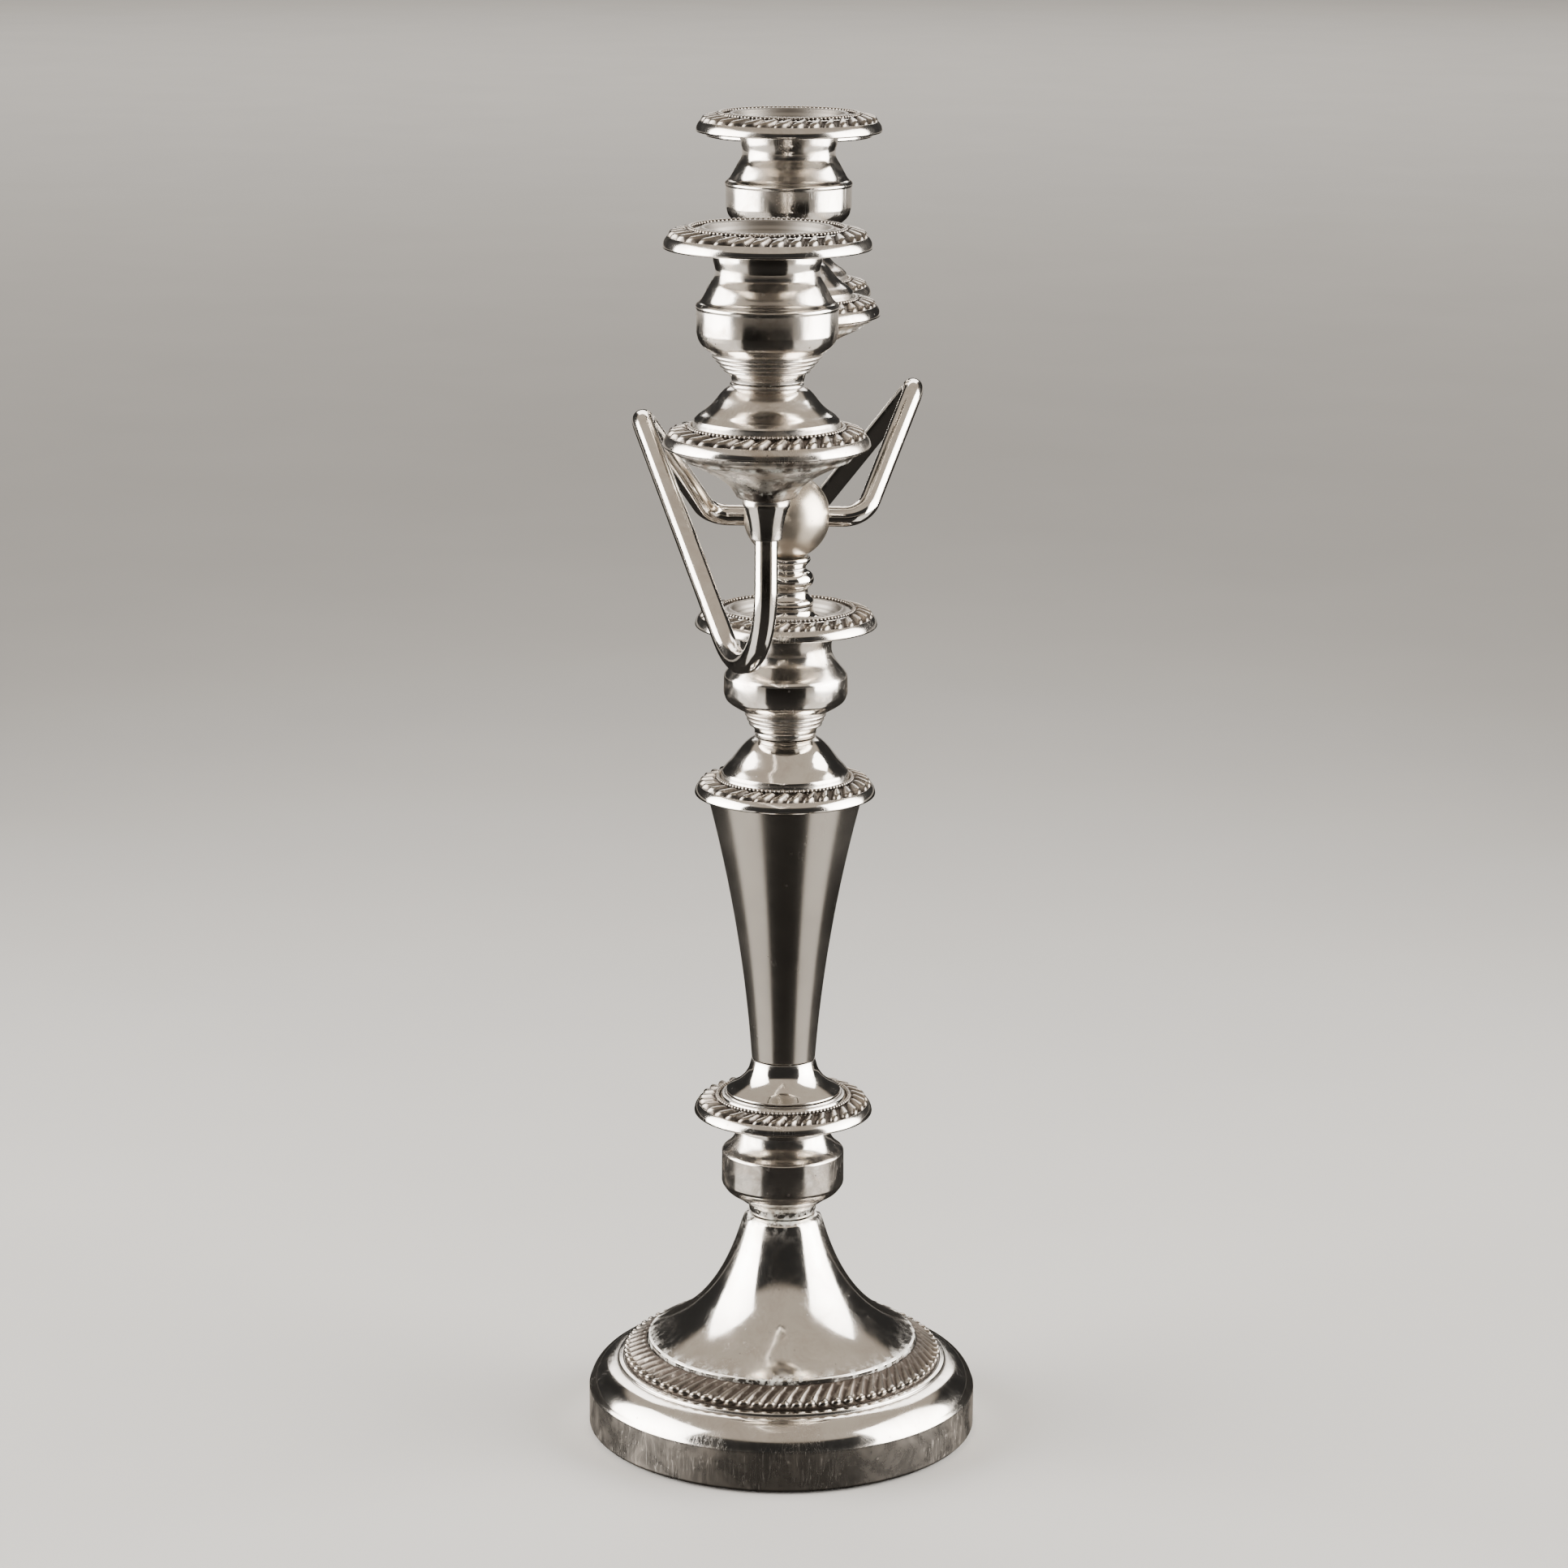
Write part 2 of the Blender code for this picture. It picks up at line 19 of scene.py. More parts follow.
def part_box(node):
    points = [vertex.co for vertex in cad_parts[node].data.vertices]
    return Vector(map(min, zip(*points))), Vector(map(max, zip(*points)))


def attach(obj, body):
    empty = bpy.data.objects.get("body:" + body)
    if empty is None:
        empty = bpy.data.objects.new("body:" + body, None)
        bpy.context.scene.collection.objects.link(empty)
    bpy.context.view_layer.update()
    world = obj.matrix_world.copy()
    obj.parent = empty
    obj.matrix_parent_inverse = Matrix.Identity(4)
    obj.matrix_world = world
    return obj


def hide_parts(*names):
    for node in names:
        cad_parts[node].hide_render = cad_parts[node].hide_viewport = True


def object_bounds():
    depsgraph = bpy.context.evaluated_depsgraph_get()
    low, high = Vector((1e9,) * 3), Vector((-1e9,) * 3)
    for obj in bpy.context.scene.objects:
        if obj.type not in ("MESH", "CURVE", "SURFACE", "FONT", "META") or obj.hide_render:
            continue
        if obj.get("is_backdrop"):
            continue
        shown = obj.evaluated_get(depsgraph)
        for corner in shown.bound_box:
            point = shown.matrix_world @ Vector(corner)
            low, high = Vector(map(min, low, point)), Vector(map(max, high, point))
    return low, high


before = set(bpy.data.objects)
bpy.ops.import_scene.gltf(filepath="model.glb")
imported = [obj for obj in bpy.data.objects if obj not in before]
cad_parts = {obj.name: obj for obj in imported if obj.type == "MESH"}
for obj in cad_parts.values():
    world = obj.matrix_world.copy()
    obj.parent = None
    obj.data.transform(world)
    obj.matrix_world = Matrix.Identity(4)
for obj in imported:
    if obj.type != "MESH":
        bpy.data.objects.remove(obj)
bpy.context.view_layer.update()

MM = 0.001
LIGHTS = ("centre", "right", "left")

# Facets round a turned piece.
BASE_STEPS = 192
DISC_STEPS = 144
SMALL_STEPS = 96

BORDER_FOOT = 2.55      # a border's foot over its disc's underside
HUB_DEPTH = 12.1        # the ball's centre over the flat at its foot
TUBE_RADIUS = 3.15      # of the arms and the centre post


# ---------------------------------------------------------------- places in the frame

def box_mm(node):
    low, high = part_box(node)
    return low / MM, high / MM


def axis_of(node):
    """The point on a turned node's axis at the node's foot."""
    low, high = box_mm(node)
    return Vector(((low.x + high.x) / 2, (low.y + high.y) / 2, low.z))


TABLE = axis_of("base_felt")
LOWER_COLLAR = axis_of("lower_collar_border") - Vector((0, 0, BORDER_FOOT))
UPPER_COLLAR = axis_of("upper_collar_border") - Vector((0, 0, BORDER_FOOT))
HUB = (box_mm("hub")[0] + box_mm("hub")[1]) / 2
HUB.z = axis_of("hub").z + HUB_DEPTH


# ---------------------------------------------------------------- outlines

def bow(start, end, bulge, steps=10):
    """Points of a circular arc from start to end.

    bulge is the arc's rise over its chord: positive swells outwards on a line that runs
    down the outer side, and negative is hollow."""
    start, end = Vector(start), Vector(end)
    chord = end - start
    half = chord.length / 2
    across = Vector((-chord.y, chord.x)).normalized()
    radius = (half * half + bulge * bulge) / (2 * abs(bulge))
    side = math.copysign(1.0, bulge)
    centre = (start + end) / 2 - across * side * (radius - abs(bulge))
    first = math.atan2(start.y - centre.y, start.x - centre.x)
    last = math.atan2(end.y - centre.y, end.x - centre.x)
    turn = (last - first + math.pi) % (2 * math.pi) - math.pi
    points = []
    for step in range(steps + 1):
        angle = first + turn * step / steps
        points.append((centre.x + radius * math.cos(angle), centre.y + radius * math.sin(angle)))
    return points


def flow(*knots, steps=6):
    """A smooth curve through knots (a Catmull-Rom spline)."""
    knots = [Vector(knot) for knot in knots]
    ends = [2 * knots[0] - knots[1], *knots, 2 * knots[-1] - knots[-2]]
    points = [tuple(knots[0])]
    for a, b, c, d in zip(ends, ends[1:], ends[2:], ends[3:]):
        for step in range(1, steps + 1):
            t = step / steps
            point = (2 * b + (c - a) * t + (2 * a - 5 * b + 4 * c - d) * t * t
                     + (3 * b - a - 3 * c + d) * t * t * t) / 2
            points.append(tuple(point))
    return points


CORNER = math.radians(15)         # a sharper turn than this is an edge
EDGE_ROUND = 0.28                 # how far back from an edge its rounding starts
EDGE_SUPPORT = 0.18               # an extra point this far on holds the straight run flat
FULL_HOLLOW = math.radians(70)    # a hollow corner this sharp holds all the patina and painted shade it can


def soften(outline, closed):
    """Round every corner of an outline, and hold the straight runs flat beside it.

    Returns the fine outline, and its hollow corners as (radius, height, strength)."""
    points = [Vector(point) for point in outline]
    count = len(points)
    fine, hollows = [], []
    for index, point in enumerate(points):
        if not closed and index in (0, count - 1):
            fine.append(point)
            continue
        before, after = points[index - 1], points[(index + 1) % count]
        back, ahead = before - point, after - point
        turn = (-back).angle_signed(ahead, 0.0)
        if abs(turn) < CORNER:
            fine.append(point)
            continue
        if turn < 0:
            hollows.append((point.x, point.y, min(1.0, -turn / FULL_HOLLOW)))
        cut = min(EDGE_ROUND, back.length * 0.42, ahead.length * 0.42)
        start, end = point + back.normalized() * cut, point + ahead.normalized() * cut
        if back.length > 2 * (cut + EDGE_SUPPORT):
            fine.append(start + back.normalized() * EDGE_SUPPORT)
        for step in range(5):
            t = step / 4
            fine.append(start * (1 - t) ** 2 + point * 2 * t * (1 - t) + end * t * t)
        if ahead.length > 2 * (cut + EDGE_SUPPORT):
            fine.append(end + ahead.normalized() * EDGE_SUPPORT)
    return np.array([tuple(point) for point in fine]), hollows


# ---------------------------------------------------------------- meshes

SEAM_GRIME_AND_SHADE = 0.8       # strength of the grime and painted shade in a seam
GRIME_AND_SHADE_REACH = 0.5      # how far from its corner or seam it fades, in mm
RESIDUE_REACH = 1.6


class Body:
    """Turned surfaces that make up one piece, in millimetres about their own axis."""

    def __init__(self):
        self.points = []
        self.faces = []
        self.recess = []
        self.residue = []
        self.total = 0

    def add(self, points, faces, recess, residue=None):
        self.points.append(points)
        self.faces.append(faces + self.total)
        self.recess.append(recess)
        self.residue.append(np.zeros(len(points)) if residue is None else residue)
        self.total += len(points)

    def turn(self, radius, height, recess, closed, residue=None):
        """radius, height and recess are arrays of (steps round, points of the outline)."""
        steps, count = radius.shape
        angle = np.arange(steps)[:, None] * (2 * math.pi / steps)
        points = np.stack([radius * np.cos(angle), radius * np.sin(angle), height], -1)
        around = np.arange(steps)[:, None]
        along = np.arange(count if closed else count - 1)[None, :]
        here, there = around * count, (around + 1) % steps * count
        following = (along + 1) % count
        faces = np.stack(
            [here + along, here + following, there + following, there + along], -1)
        self.add(points.reshape(-1, 3), faces.reshape(-1, 4), recess.ravel(),
                 None if residue is None else residue.ravel())

    def outline(self, outline, steps, seams=(), residue=()):
        """Turn one outline. It is a closed loop, or it starts and ends on the axis.

        seams are points where grime and painted shade sit, and residue where dry polish or dull
        wear does."""
        closed = outline[0][0] > 0
        fine, hollows = soften(outline, closed)
        # patina together with painted shade: darker near hollow corners and seams
        grime_and_shade = closeness(fine, hollows + [(*seam, SEAM_GRIME_AND_SHADE) for seam in seams], GRIME_AND_SHADE_REACH)
        dry = closeness(fine, [(*spot, 1.0) for spot in residue], RESIDUE_REACH)
        sheet = np.ones((steps, 1))
        self.turn(sheet * fine[:, 0], sheet * fine[:, 1], sheet * grime_and_shade, closed, sheet * dry)

    def make(self, name, place, body, material, replaces):
        """The finished object, in place, riding on its CAD body."""
        mesh = bpy.data.meshes.new(name)
        points = np.concatenate(self.points) * MM + np.array(place) * MM
        mesh.from_pydata(points.tolist(), [], np.concatenate(self.faces).tolist())
        for label, parts in (("recess", self.recess), ("residue", self.residue)):
            values = mesh.attributes.new(label, "FLOAT", "POINT")
            values.data.foreach_set("value", np.concatenate(parts).astype(np.float32))
        weld(mesh)
        return finish_piece(mesh, name, body, material, replaces)


def closeness(fine, spots, reach):
    """How near each point of a fine outline lies to the nearest of some (r, z, strength)."""
    near = np.zeros(len(fine))
    for radius, height, strength in spots:
        gap = np.hypot(fine[:, 0] - radius, fine[:, 1] - height)
        near = np.maximum(near, strength * np.exp(-gap / reach))
    return near


def weld(mesh):
    """Close the poles of a turned surface."""
    shape = bmesh.new()
    shape.from_mesh(mesh)
    bmesh.ops.remove_doubles(shape, verts=shape.verts, dist=0.00000005)
    shape.to_mesh(mesh)
    shape.free()


def finish_piece(mesh, name, body, material, replaces):
    mesh.shade_smooth()
    mesh.set_sharp_from_angle(angle=math.radians(50))
    mesh.materials.append(material)
    piece = bpy.data.objects.new(name, mesh)
    bpy.context.scene.collection.objects.link(piece)
    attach(piece, body)
    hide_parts(*replaces)
    return piece


def turned(node, body, material, place, outline, steps=DISC_STEPS, seams=(), residue=()):
    """A fine turned piece that stands for the CAD node of the same name."""
    shape = Body()
    shape.outline(outline, steps, seams, residue)
    return shape.make(node + "_fine", place, body, material, [node])


# ---------------------------------------------------------------- relief

class Gadroons:
    """A ring of slanted drops on a sloping seat, each fattest near its outer end."""

    def __init__(self, inner, outer, count, rise, slant, bend=1.0, width=0.8, tail=0.5,
                 peak=0.66, bead_rise=0.0, grime_and_shade=0.5, across=18, per_lobe=16):
        self.inner = np.array(inner)
        self.outer = np.array(outer)
        self.count = count
        self.rise = rise
        self.slant = slant            # lobe widths by which the inner end leads
        self.bend = bend              # above 1, the tail curls more towards its tip
        self.width = width            # at the fattest point, of the pitch
        self.tail = tail              # width and height of the inner end, of the fattest point
        self.peak = peak              # where along the lobe it is fattest
        self.bead_rise = bead_rise    # extra height of a bead at the outer end
        self.grime_and_shade = grime_and_shade            # height up to which patina and painted shade sit, of the whole
        self.across = across
        self.per_lobe = per_lobe

    def height(self, turn, along):
        """Height of the relief at a turn (0 to 1 round) and a place along the lobe."""
        lean = self.slant * (1 - along) ** self.bend
        offset = 2 * np.mod(turn * self.count - lean, 1.0) - 1
        swell = self.tail + (1 - self.tail) * np.clip(along / self.peak, 0, 1) ** 0.8
        tip = np.sqrt(1 - np.clip((along - self.peak) / (1.001 - self.peak), 0, 1) ** 2)
        root = np.sqrt(np.clip(along / 0.12, 0, 1))
        plan = swell * tip
        section = np.sqrt(np.clip(1 - (offset / (self.width * plan)) ** 2, 0, 1))
        tall = self.rise * plan * root * section
        knob = 1 - ((along - 0.86) / 0.14) ** 2 - (offset / 0.86) ** 2
        return np.maximum(tall, self.bead_rise * np.sqrt(np.clip(knob, 0, 1)))

    def add_to(self, shape, thickness):
        steps = self.count * self.per_lobe
        turn = np.arange(steps)[:, None] / steps
        along = (1 - np.cos(np.linspace(0, math.pi, self.across + 1)))[None, :] / 2
        slope = self.outer - self.inner
        normal = np.array((-slope[1], slope[0])) / np.hypot(*slope)
        tall = self.height(turn, along)
        radius = self.inner[0] + slope[0] * along + normal[0] * tall
        height = self.inner[1] + slope[1] * along + normal[1] * tall
        low = np.ones((steps, 1))
        under = [self.outer - (0, thickness), self.inner - (0, thickness)]
        radius = np.hstack([radius, low * under[0][0], low * under[1][0]])
        height = np.hstack([height, low * under[0][1], low * under[1][1]])
        top = max(self.rise, self.bead_rise)
        # patina and painted shade: darker the lower the relief, and fully dark on the underside
        depth = np.hstack([1 - np.clip(tall / (self.grime_and_shade * top), 0, 1), low, low])
        shape.turn(radius, height, depth, True)


def add_beads(shape, radius, height, size, count, per_bead=9, round_steps=10):
    """A row of tiny beads run together in a ring."""
    steps = count * per_bead
    turn = np.arange(steps)[:, None] / steps
    offset = 2 * np.mod(turn * count, 1.0) - 1
    thick = size * np.sqrt(1 - 0.75 * offset ** 2)
    angle = math.pi / 2 - np.arange(round_steps)[None, :] * (2 * math.pi / round_steps)
    # patina and painted shade: darker between the beads and on their undersides
    depth = np.clip(1.25 * offset ** 2 + 0.25 - 0.5 * np.sin(angle), 0, 1)
    shape.turn(radius + thick * np.cos(angle), height + thick * np.sin(angle), depth, True)


# ---------------------------------------------------------------- finishes

def add_node(tree, kind, inputs=None, **settings):
    """A shader node. An input that is a socket is linked, and any other value is set."""
    made = tree.nodes.new("ShaderNode" + kind)
    for name, value in settings.items():
        setattr(made, name, value)
    for name, value in (inputs or {}).items():
        if isinstance(value, bpy.types.NodeSocket):
            tree.links.new(value, made.inputs[name])
        else:
            made.inputs[name].default_value = value
    return made


def math_node(tree, operation, first, second=0.0, clamp=False):
    return add_node(tree, "Math", {0: first, 1: second}, operation=operation,
                    use_clamp=clamp).outputs[0]


def noise(tree, where, scale, detail=4.0, roughness=0.55, distortion=0.0):
    made = add_node(tree, "TexNoise", {"Vector": where, "Scale": scale, "Detail": detail,
                                       "Roughness": roughness, "Distortion": distortion})
    return made.outputs["Fac"]


def step_up(tree, value, low, high):
    """0 below low, 1 above high, smooth between."""
    made = add_node(tree, "MapRange", {"Value": value, "From Min": low, "From Max": high},
                    interpolation_type="SMOOTHSTEP")
    return made.outputs["Result"]


def mix_colour(tree, share, first, second):
    made = add_node(tree, "Mix", {"Factor": share}, data_type="RGBA")
    for socket, value in ((made.inputs[6], first), (made.inputs[7], second)):
        if isinstance(value, bpy.types.NodeSocket):
            tree.links.new(value, socket)
        else:
            socket.default_value = (*value, 1.0)
    return made.outputs[2]


def stored(tree, name):
    return add_node(tree, "Attribute", attribute_name=name).outputs["Fac"]


def hairlines(tree, where, turn, length, pitch, amount):
    """Sparse thin scratches: contour lines of a noise that is stretched one way."""
    stretched = add_node(tree, "Mapping", {"Vector": where, "Rotation": turn,
                                           "Scale": (1 / pitch, 1 / pitch, 1 / length)})
    field = noise(tree, stretched.outputs[0], 1.0, 1.0)
    line = math_node(tree, "ABSOLUTE", math_node(tree, "SUBTRACT", field, 0.5))
    line = math_node(tree, "SUBTRACT", 1.0, step_up(tree, line, 0.0, 0.012))
    patch = step_up(tree, noise(tree, where, 55.0, 2.0), 0.62 - amount, 0.75 - amount)
    return math_node(tree, "MULTIPLY", line, patch)


CLEAN = (0.88, 0.84, 0.785)
WORN = 0.85                  # of the clean colour
TARNISH = (0.42, 0.34, 0.26)
# dark colour of pits and soot, and of patina with painted shade in the recesses
PATINA_AND_SHADE = (0.06, 0.048, 0.04)
DRY_POLISH = (0.72, 0.74, 0.69)
DULL_GREY = (0.17, 0.155, 0.138)

# Two sets of hairlines: their turn, length and spacing.
SCRATCHES = (((0.5, 0.9, 0.2), 0.020, 0.0016), ((2.1, 0.3, 1.4), 0.014, 0.0011))
WALL_FADE = (-0.001, 0.0005)     # heights about a wall's top over which its dirt ends
RELIEF = 0.0001                  # height of the relief, in metres


def stained(tree, where, clean, tarnish):
    """Silver's colour, partly worn and tarnished in clouds and freckles, and the stain's mask."""
    tone = step_up(tree, noise(tree, where, 22.0, 4.0, 0.6), 0.35, 0.65)
    clear = mix_colour(tree, tone, clean, tuple(WORN * part for part in clean))
    stain = step_up(tree, noise(tree, where, 85.0, 8.0, 0.66, 0.6), 0.40, 0.70)
    freckles = step_up(tree, noise(tree, where, 900.0, 3.0), 0.60, 0.72)
    stain = math_node(tree, "ADD", stain, math_node(tree, "MULTIPLY", freckles, 0.25), True)
    stain = math_node(tree, "MULTIPLY", stain, tarnish)
    return mix_colour(tree, stain, clear, TARNISH), stain


def pitted(tree, where, spots):
    """Mask of small pits that come in groups."""
    cells = add_node(tree, "TexVoronoi", {"Vector": where, "Scale": 330.0})
    chosen = step_up(tree, noise(tree, where, 210.0, 2.0), 0.56, 0.62)
    pits = math_node(tree, "SUBTRACT", 1.0, step_up(tree, cells.outputs["Distance"], 0.05, 0.16))
    return math_node(tree, "MULTIPLY", math_node(tree, "MULTIPLY", pits, chosen), spots)


def sooted(tree, where, soot):
    """Mask of a patchy dark film."""
    film = noise(tree, where, 150.0, 6.0, 0.7, 1.4)
    return math_node(tree, "MULTIPLY", step_up(tree, film, 0.46, 0.60), soot)


def held(tree, where, label, strength, scale, detail, roughness, edges):
    """Mask of what a piece stores under a label, broken up by noise."""
    broken = step_up(tree, noise(tree, where, scale, detail, roughness), *edges)
    mask = math_node(tree, "MULTIPLY", stored(tree, label), broken)
    return math_node(tree, "MULTIPLY", mask, strength, True)


def handled(tree, where, wall_top):
    """Mask of the dirt that hands leave on a wall up to wall_top."""
    height = add_node(tree, "SeparateXYZ", {0: where}).outputs["Z"]
    low, high = (wall_top + fade for fade in WALL_FADE)
    wall = math_node(tree, "SUBTRACT", 1.0, step_up(tree, height, low, high))
    patches = step_up(tree, noise(tree, where, 90.0, 7.0, 0.68, 0.6), 0.30, 0.70)
    dirt = math_node(tree, "MULTIPLY_ADD", patches, 0.45)
    dirt.node.inputs[2].default_value = 0.55
    return math_node(tree, "MULTIPLY", wall, dirt)


def silver(name, tarnish=0.3, roughness=0.08, patina_and_shade=0.85, scratches=0.1, spots=0.5,
           residue=0.0, dull=0.0, soot=0.0, wall_top=0.0, waviness=0.5, clean=CLEAN):
    """Silver plate. All of its settings are strengths but four.

    roughness is the metal's own, clean its colour, and waviness the height of its soft dents.
    Below wall_top, if that is set, the piece is dirty as from handling. patina_and_shade is the
    strength of the patina and painted shade where the piece stores recess. Where it stores
    residue, that is white dry polish, or with dull set, a worn grey surface. soot is a dark film
    in patches."""
    material = bpy.data.materials.new(name)
    material.use_nodes = True
    tree = material.node_tree
    shader = tree.nodes["Principled BSDF"]
    shader.inputs["Metallic"].default_value = 1.0
    where = add_node(tree, "TexCoord").outputs["Object"]

    colour, stain = stained(tree, where, clean, tarnish)
    pits = pitted(tree, where, spots)
    colour = mix_colour(tree, pits, colour, PATINA_AND_SHADE)
    if soot:
        colour = mix_colour(tree, sooted(tree, where, soot), colour, PATINA_AND_SHADE)
    # patina and painted shade in the recesses, broken up by noise
    grime_and_shade = held(tree, where, "recess", patina_and_shade, 420.0, 4.0, 0.55, (0.15, 0.52))
    colour = mix_colour(tree, grime_and_shade, colour, PATINA_AND_SHADE)

    lines = math_node(tree, "MAXIMUM",
                      *(hairlines(tree, where, *scratch, scratches) for scratch in SCRATCHES))
    haze = noise(tree, where, 30.0, 5.0, 0.6)
    rough = math_node(tree, "MULTIPLY_ADD", haze, roughness * 0.9)
    rough.node.inputs[2].default_value = roughness * 0.55
    rougher = [(stain, 0.25), (pits, 0.35), (grime_and_shade, 0.30), (lines, 0.16)]

    if residue:
        dry = held(tree, where, "residue", residue, 260.0, 6.0, 0.7, (0.46, 0.62))
        colour = mix_colour(tree, dry, colour, DRY_POLISH)
        rougher.append((dry, 0.6))
        metal = math_node(tree, "SUBTRACT", 1.0, math_node(tree, "MULTIPLY", dry, 0.85))
        tree.links.new(metal, shader.inputs["Metallic"])
    if wall_top:
        dirt = handled(tree, where, wall_top)
        colour = mix_colour(tree, math_node(tree, "MULTIPLY", dirt, 0.45), colour, TARNISH)
        rougher.append((dirt, 0.22))
    if dull:
        worn = math_node(tree, "MULTIPLY", stored(tree, "residue"), dull, True)
        colour = mix_colour(tree, worn, colour, DULL_GREY)
        rougher.append((worn, 0.35))
    for mask, gain in rougher:
        rough = math_node(tree, "ADD", rough, math_node(tree, "MULTIPLY", mask, gain))

    swell = math_node(tree, "MULTIPLY", noise(tree, where, 70.0, 2.0), waviness)
    cut = math_node(tree, "MULTIPLY", lines, -0.02)
    sunk = math_node(tree, "MULTIPLY", pits, -0.03)
    relief = math_node(tree, "ADD", math_node(tree, "ADD", swell, cut), sunk)
    bump = add_node(tree, "Bump", {"Height": relief, "Strength": 1.0, "Distance": RELIEF})
    tree.links.new(bump.outputs["Normal"], shader.inputs["Normal"])
    tree.links.new(colour, shader.inputs["Base Color"])
    tree.links.new(rough, shader.inputs["Roughness"])
    return material


def cloth_felt():
    material = bpy.data.materials.new("green_felt")
    material.use_nodes = True
    tree = material.node_tree
    shader = tree.nodes["Principled BSDF"]
    shader.inputs["Roughness"].default_value = 0.95
    shader.inputs["Sheen Weight"].default_value = 0.4
    where = add_node(tree, "TexCoord").outputs["Object"]
    fibre = noise(tree, where, 2600.0, 5.0, 0.7, 1.5)
    worn = noise(tree, where, 120.0, 4.0)
    shade = math_node(tree, "MULTIPLY", fibre, worn)
    colour = mix_colour(tree, step_up(tree, shade, 0.15, 0.4), (0.012, 0.035, 0.02),
                        (0.05, 0.11, 0.065))
    bump = add_node(tree, "Bump", {"Height": fibre, "Strength": 0.8, "Distance": 0.0002})
    tree.links.new(colour, shader.inputs["Base Color"])
    tree.links.new(bump.outputs["Normal"], shader.inputs["Normal"])
    return material


def plaster():
    material = bpy.data.materials.new("base_plaster")
    material.use_nodes = True
    tree = material.node_tree
    shader = tree.nodes["Principled BSDF"]
    shader.inputs["Roughness"].default_value = 0.9
    where = add_node(tree, "TexCoord").outputs["Object"]
    grain = noise(tree, where, 500.0, 6.0, 0.7)
    colour = mix_colour(tree, grain, (0.10, 0.09, 0.08), (0.32, 0.29, 0.25))
    bump = add_node(tree, "Bump", {"Height": grain, "Strength": 0.6, "Distance": 0.0004})
    tree.links.new(colour, shader.inputs["Base Color"])
    tree.links.new(bump.outputs["Normal"], shader.inputs["Normal"])
    return material


POLISHED = silver("polished_silver", tarnish=0.35, roughness=0.08)
BASE = silver("base_silver", tarnish=0.35, roughness=0.09, scratches=0.16, residue=0.9,
              wall_top=0.0135)
CUP = silver("cup_silver", tarnish=0.7, roughness=0.11, spots=0.9)
KNOP = silver("knop_silver", tarnish=0.7, roughness=0.12, spots=0.9, residue=0.8, soot=0.25)
NOZZLE = silver("nozzle_silver", tarnish=0.35, roughness=0.10, dull=1.0)
SATIN = silver("satin_silver", tarnish=0.06, roughness=0.22, scratches=0.03, spots=0.2,
               waviness=0.1, clean=(0.44, 0.41, 0.37))
CAST = silver("cast_silver", tarnish=0.4, roughness=0.19, patina_and_shade=1.0,
              clean=(0.30, 0.278, 0.252))
DULL = silver("dull_silver", tarnish=0.9, roughness=0.26, spots=1.0, residue=0.7, soot=0.8,
              clean=(0.52, 0.49, 0.45))
HUB_FINISH = silver("hub_silver", tarnish=0.5, roughness=0.25, spots=0.5,
                    clean=(0.62, 0.55, 0.46))
STEEL = silver("turned_steel", tarnish=0.5, roughness=0.22)
FELT = cloth_felt()
PLASTER = plaster()


# ---------------------------------------------------------------- disc parts

def disc_edge():
    """Edge of every disc: the border's sunk seat, the bright rolled rim and its underside."""
    return [(20.2, 4.6), (26.25, 2.1), (26.3, 3.1), *bow((26.4, 3.25), (27.75, 0.9), 0.25, 6),
            *bow((27.8, 0.6), (27.4, 0.0), 0.12, 4)]


LOBES = Gadroons((21.2, 4.7), (26.3, 2.4), 32, rise=1.75, slant=0.8, bend=1.2, grime_and_shade=0.85)


def cast_border(node, place, body):
    """Gadroons inside the rim, with a row of tiny beads round their inner ends."""
    shape = Body()
    LOBES.add_to(shape, 0.45)
    add_beads(shape, 20.65, 5.35, 0.62, 96)
    shape.make(node + "_fine", place, body, CAST, [node])


# ---------------------------------------------------------------- stick

DOME_STEPS = 40
DOME_FLOOR, DOME_SPREAD, DOME_SHIFT = 6.9, 1046.0, 4.55     # a hyperbola fitted to the photo
DOME_TOP_RADIUS, DOME_FOOT_RADIUS = 12.9, 41.6
WALL = 1.0


def base_shell():
    dome = []
    for step in range(DOME_STEPS + 1):
        share = (step / DOME_STEPS) ** 1.5
        radius = DOME_TOP_RADIUS + (DOME_FOOT_RADIUS - DOME_TOP_RADIUS) * share
        dome.append((radius, DOME_FLOOR + DOME_SPREAD / (radius + DOME_SHIFT)))
    outer = [(9.3, 70.0), *bow((10.4, 70.0), (12.3, 68.4), 0.35, 6), *dome]
    outer += [(42.3, 29.5), (42.45, 27.6), (50.0, 22.1), (50.3, 22.6), (51.7, 22.3)]
    outer += bow((51.95, 21.3), (60.7, 14.0), 1.9, 16)
    outer += [(61.0, 13.4), (61.0, 1.2), (60.2, 0.4)]
    inner = [(59.6, 0.4), (60.0, 1.4), (60.0, 13.0), (50.4, 20.4), (41.9, 26.6)]
    inner += [(radius - WALL, height - WALL) for radius, height in reversed(dome[::4])]
    turned("base_shell", "stick", BASE, TABLE, outer + inner, BASE_STEPS,
           seams=[(10.0, 70.0), (42.4, 27.8), (50.1, 22.3)],
           residue=[(11.0, 70.0), (42.4, 29.3)])


def base_border():
    """A ring of long slanted drops, each with a bead at its outer end."""
    shape = Body()
    drops = Gadroons((42.75, 28.15), (49.7, 23.1), 74, rise=1.05, slant=1.4, bend=1.5,
                     width=0.66, tail=0.25, peak=0.8, bead_rise=1.65, grime_and_shade=0.75, across=24,
                     per_lobe=12)
    drops.add_to(shape, 0.5)
    shape.make("base_border_fine", TABLE, "stick", CAST, ["base_border"])


